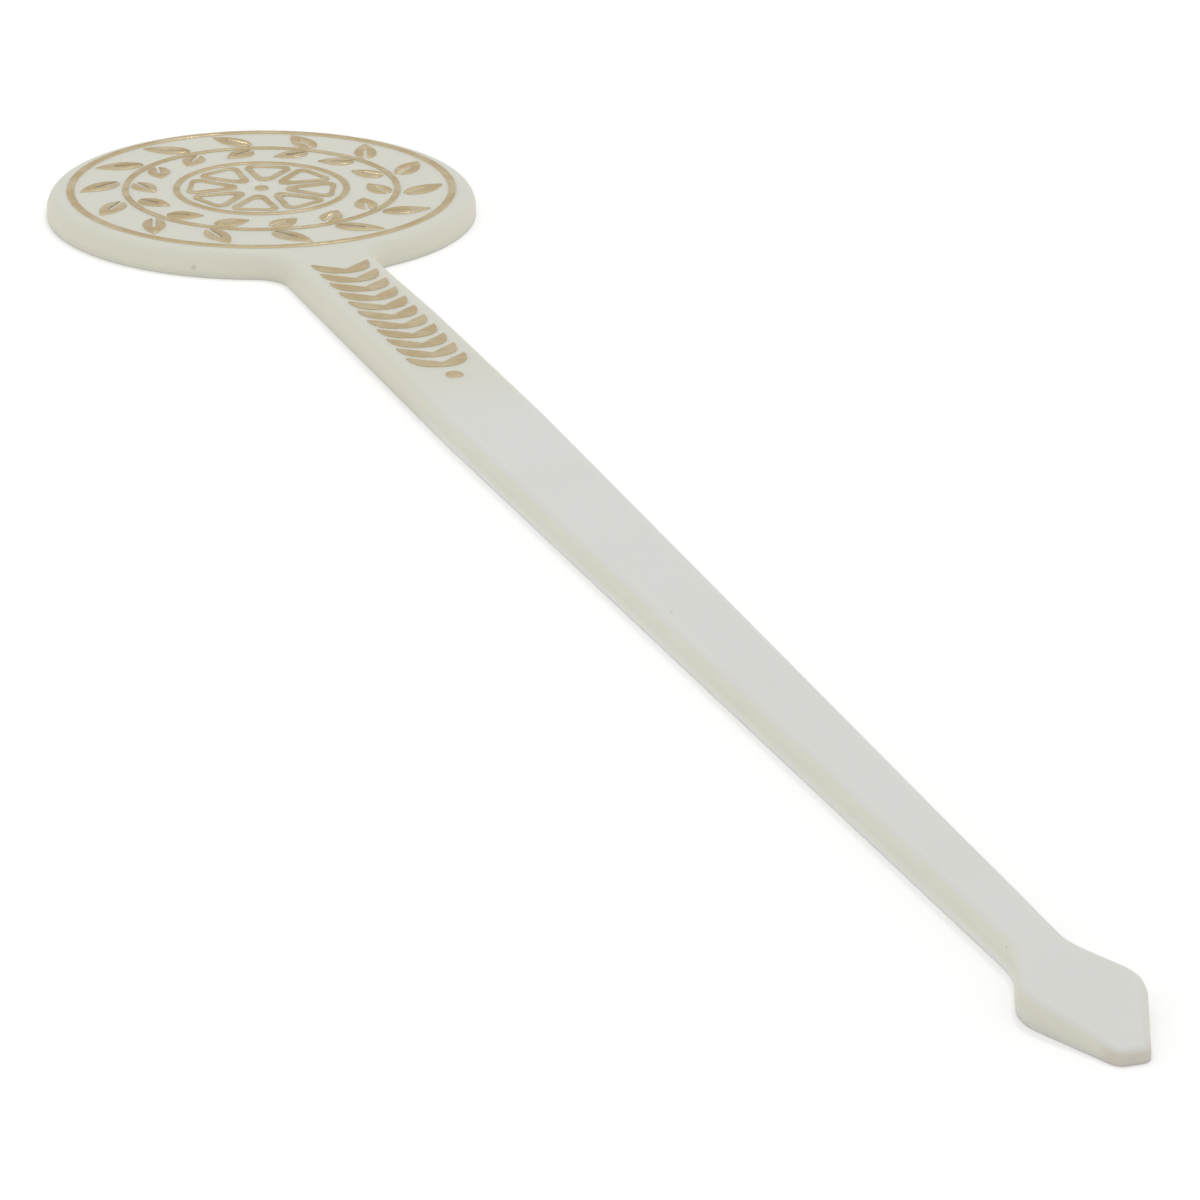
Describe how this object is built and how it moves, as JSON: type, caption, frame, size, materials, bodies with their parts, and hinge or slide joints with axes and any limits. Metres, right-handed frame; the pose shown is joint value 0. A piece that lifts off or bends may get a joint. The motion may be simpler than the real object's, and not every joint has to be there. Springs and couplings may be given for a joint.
{
  "type": "drink stirrer",
  "caption": "Flat white drink stirrer: round head with a raised gold border and leaf design, long tapering stem with a gold strip, and a thin kite-shaped blade at the end.",
  "frame": {"origin": "middle of the round head's flat back", "axes": "+Z out of the decorated face, +Y from the blade along the stem to the head, +X to the right when the face is seen with the head up"},
  "size_m": [0.036, 0.196, 0.0023],
  "materials": {
    "white_plastic": "moulded polystyrene with a soft sheen",
    "gold_foil": "hot-stamped satin gold foil"
  },
  "bodies": {
    "root": {"moulding": "white_plastic", "foil_border_ring": "gold_foil", "foil_garland_ring": "gold_foil", "foil_leaf_outer_1": "gold_foil", "foil_leaf_outer_2": "gold_foil", "foil_leaf_outer_3": "gold_foil", "foil_leaf_outer_4": "gold_foil", "foil_leaf_outer_5": "gold_foil", "foil_leaf_outer_6": "gold_foil", "foil_leaf_outer_7": "gold_foil", "foil_leaf_outer_8": "gold_foil", "foil_leaf_outer_9": "gold_foil", "foil_leaf_outer_10": "gold_foil", "foil_leaf_outer_11": "gold_foil", "foil_leaf_outer_12": "gold_foil", "foil_leaf_outer_13": "gold_foil", "foil_leaf_outer_14": "gold_foil", "foil_leaf_inner_1": "gold_foil", "foil_leaf_inner_2": "gold_foil", "foil_leaf_inner_3": "gold_foil", "foil_leaf_inner_4": "gold_foil", "foil_leaf_inner_5": "gold_foil", "foil_leaf_inner_6": "gold_foil", "foil_leaf_inner_7": "gold_foil", "foil_leaf_inner_8": "gold_foil", "foil_leaf_inner_9": "gold_foil", "foil_leaf_inner_10": "gold_foil", "foil_leaf_inner_11": "gold_foil", "foil_leaf_inner_12": "gold_foil", "foil_leaf_inner_13": "gold_foil", "foil_leaf_inner_14": "gold_foil", "foil_wheel_rim": "gold_foil", "foil_wheel_hub": "gold_foil", "foil_wheel_segment_1": "gold_foil", "foil_wheel_segment_2": "gold_foil", "foil_wheel_segment_3": "gold_foil", "foil_wheel_segment_4": "gold_foil", "foil_wheel_segment_5": "gold_foil", "foil_wheel_segment_6": "gold_foil", "foil_wheel_segment_7": "gold_foil", "foil_wheel_segment_8": "gold_foil", "foil_stem_motif_1": "gold_foil", "foil_stem_motif_2": "gold_foil", "foil_stem_motif_3": "gold_foil", "foil_stem_motif_4": "gold_foil", "foil_stem_motif_5": "gold_foil", "foil_stem_motif_6": "gold_foil", "foil_stem_motif_7": "gold_foil", "foil_stem_motif_8": "gold_foil", "foil_stem_motif_9": "gold_foil", "foil_stem_motif_10": "gold_foil", "foil_stem_motif_11": "gold_foil", "foil_stem_bud": "gold_foil"}
  },
  "joints": []
}
